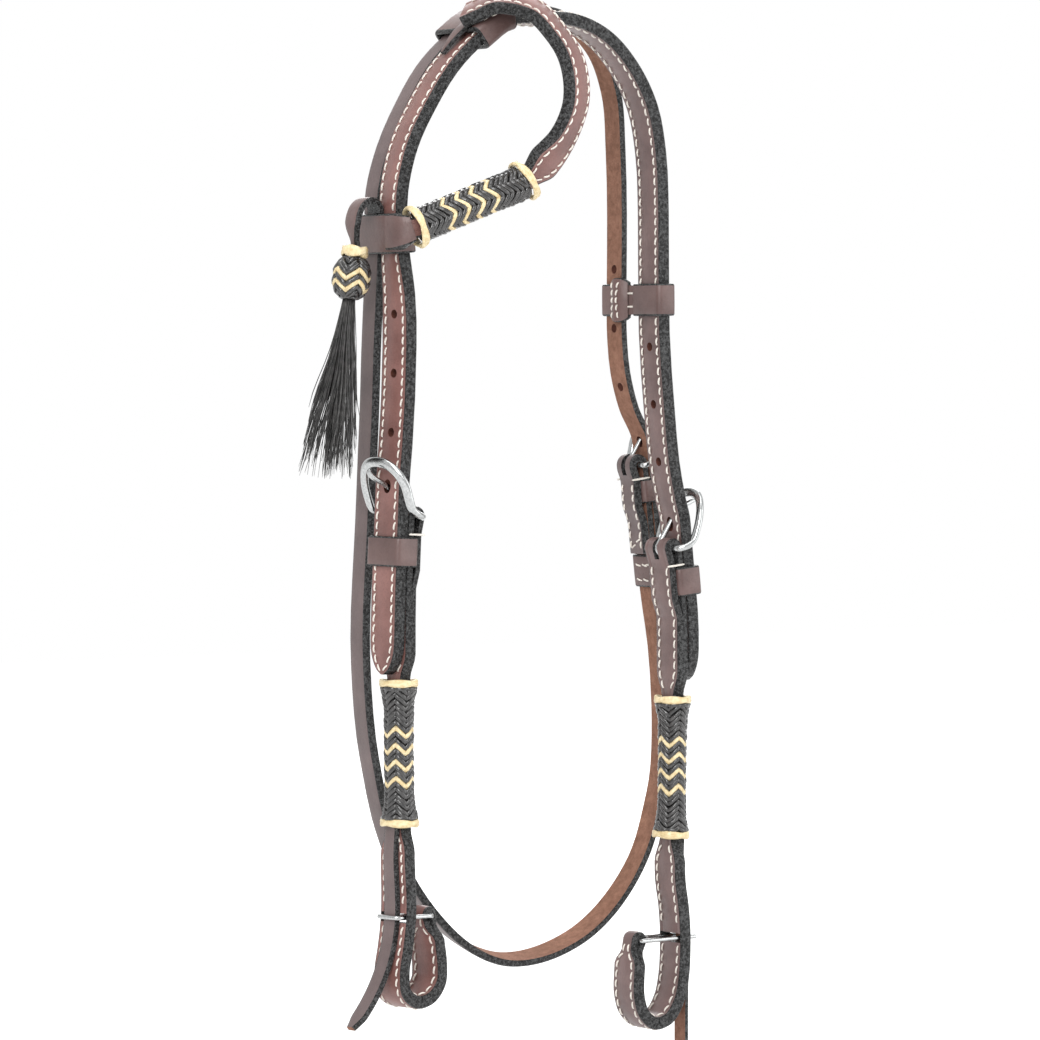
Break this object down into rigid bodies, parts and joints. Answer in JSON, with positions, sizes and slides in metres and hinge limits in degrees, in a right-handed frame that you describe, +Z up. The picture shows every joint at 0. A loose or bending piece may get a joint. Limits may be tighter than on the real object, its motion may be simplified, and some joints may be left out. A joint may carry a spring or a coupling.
{
  "type": "one-ear western headstall",
  "caption": "One-ear western headstall with throatlatch: doubled leather crown and cheeks, horseshoe buckles, rawhide-covered bit loops with wire locks, braided ear loop and a horsehair tassel.",
  "frame": {"origin": "underside of the crown strap at the poll, on a flat stretch, midway between the cheeks", "axes": "+X across the horse to its left, -Y to the nose, +Z up; the left cheek of the picture is at -X"},
  "size_m": [0.2194, 0.0859, 0.526],
  "materials": {
    "leather": "waxed harness leather, grain side",
    "leather_dark": "dark harness leather",
    "stainless_steel": "stainless steel, satin polished",
    "black_rawhide": "dyed rawhide braid",
    "natural_rawhide": "natural rawhide",
    "horsehair": "horsehair"
  },
  "bodies": {
    "headstall": {"crown_inner_ply": "leather_dark", "crown_outer_ply": "leather", "left_cheek_keeper": "leather_dark", "left_cheek_strap": "leather", "left_lock_tab": "leather_dark", "left_lower_rawhide_ring": "natural_rawhide", "left_rawhide_braid": "black_rawhide", "left_upper_rawhide_ring": "natural_rawhide", "right_cheek_keeper": "leather_dark", "right_cheek_strap": "leather", "right_lock_tab": "leather_dark", "right_lower_rawhide_ring": "natural_rawhide", "right_rawhide_braid": "black_rawhide", "right_upper_rawhide_ring": "natural_rawhide", "throat_billet_loop": "leather_dark", "throat_keeper": "leather_dark", "throatlatch_strap": "leather"},
    "left_frame": {"left_buckle_frame": "stainless_steel"},
    "left_tongue": {"left_buckle_tongue": "stainless_steel"},
    "right_frame": {"right_buckle_frame": "stainless_steel"},
    "right_tongue": {"right_buckle_tongue": "stainless_steel"},
    "throat_frame": {"throat_buckle_frame": "stainless_steel"},
    "throat_tongue": {"throat_buckle_tongue": "stainless_steel"},
    "left_wire": {"left_bit_wire_loop": "stainless_steel"},
    "right_wire": {"right_bit_wire_loop": "stainless_steel"},
    "double_keeper": {"double_keeper": "leather_dark"},
    "ear": {"ear_outer_ply": "leather", "ear_lining": "leather_dark", "ear_rawhide_braid": "black_rawhide", "ear_upper_rawhide_ring": "natural_rawhide", "ear_lower_rawhide_ring": "natural_rawhide", "ear_lower_wrap": "leather_dark", "ear_top_wrap": "leather_dark", "tassel_hanger": "leather_dark"},
    "tassel": {"tassel_rawhide_ring": "natural_rawhide", "tassel_knot": "black_rawhide", "tassel_horsehair": "horsehair"}
  },
  "joints": [
    {"name": "left_frame_turn", "type": "hinge", "parent": "headstall", "child": "left_frame", "pos_m": [-0.07579, 0.00118, -0.23722], "axis": [0.1389, -0.9903, -0.0061], "range_deg": [-2, 2]},
    {"name": "left_tongue_turn", "type": "hinge", "parent": "left_frame", "child": "left_tongue", "pos_m": [-0.07579, 0.00118, -0.23722], "axis": [0.1389, -0.9903, -0.0061], "range_deg": [0, 1.2]},
    {"name": "right_frame_turn", "type": "hinge", "parent": "headstall", "child": "right_frame", "pos_m": [0.07555, 0, -0.25572], "axis": [0, 1, 0], "range_deg": [-2, 2]},
    {"name": "right_tongue_turn", "type": "hinge", "parent": "right_frame", "child": "right_tongue", "pos_m": [0.07555, 0, -0.25572], "axis": [0, 1, 0], "range_deg": [0, 1.2]},
    {"name": "throat_frame_turn", "type": "hinge", "parent": "headstall", "child": "throat_frame", "pos_m": [0.07664, 0.02812, -0.21528], "axis": [0, 1, 0], "range_deg": [-2, 2]},
    {"name": "throat_tongue_turn", "type": "hinge", "parent": "throat_frame", "child": "throat_tongue", "pos_m": [0.07664, 0.02812, -0.21528], "axis": [0, 1, 0], "range_deg": [0, 1.2]},
    {"name": "left_wire_turn", "type": "hinge", "parent": "headstall", "child": "left_wire", "pos_m": [-0.06426, 0.00278, -0.4296], "axis": [0.2077, -0.9782, -0.0035], "range_deg": [-3, 3]},
    {"name": "right_wire_turn", "type": "hinge", "parent": "headstall", "child": "right_wire", "pos_m": [0.05851, 0, -0.44953], "axis": [0, 1, 0], "range_deg": [-2, 2]},
    {"name": "ear_slide", "type": "hinge", "parent": "headstall", "child": "ear", "pos_m": [0.03651, -0.01393, -0.09324], "axis": [0, 1, 0], "range_deg": [-0.9, 0.9]},
    {"name": "tassel_swing", "type": "hinge", "parent": "ear", "child": "tassel", "pos_m": [-0.09822, 0.01009, -0.11072], "axis": [0.1164, 0.9932, 0], "range_deg": [-2.5, 15]},
    {"name": "double_keeper_slide", "type": "slide", "parent": "headstall", "child": "double_keeper", "axis": [-0.0062, 0, 1], "range_m": [-0.009, 0.009]}
  ]
}
